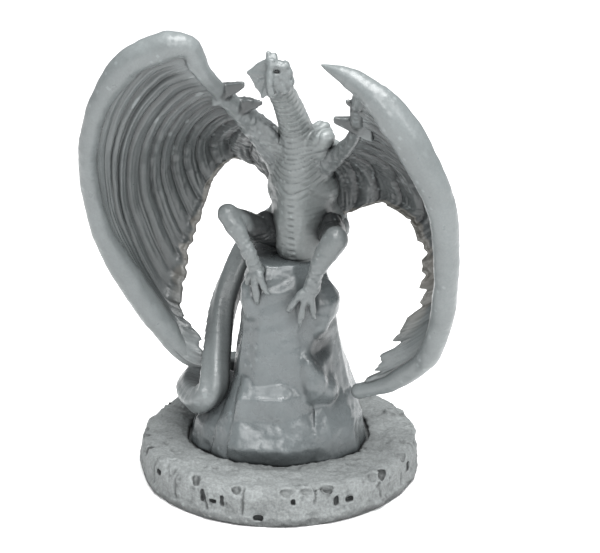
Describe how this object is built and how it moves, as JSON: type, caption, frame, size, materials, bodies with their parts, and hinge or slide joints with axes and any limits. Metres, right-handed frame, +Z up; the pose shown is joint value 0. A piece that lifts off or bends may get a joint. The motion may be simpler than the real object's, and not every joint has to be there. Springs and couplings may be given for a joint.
{
  "type": "dragon miniature figure",
  "caption": "Winged dragon miniature perched on a facetted rock that plugs into a round stone-textured display base.",
  "frame": {"origin": "centre of the flat underside of the round base", "axes": "+Z up out of the base, -Y the side the figure faces, +X the figure's left"},
  "size_m": [0.0643, 0.0555, 0.085],
  "materials": {
    "base_plastic": "matte, cast stone grain",
    "figure_plastic": "satin, bare grey casting plastic"
  },
  "bodies": {
    "base": {"base_disc": "base_plastic"},
    "figure": {"rock": "figure_plastic", "trunk": "figure_plastic", "head": "figure_plastic", "left_wing": "figure_plastic", "right_wing": "figure_plastic", "left_leg": "figure_plastic", "right_leg": "figure_plastic", "tail": "figure_plastic"}
  },
  "joints": [
    {"name": "figure_lift", "type": "slide", "parent": "base", "child": "figure", "axis": [0, 0, 1], "range_m": [0, 0.012]}
  ]
}
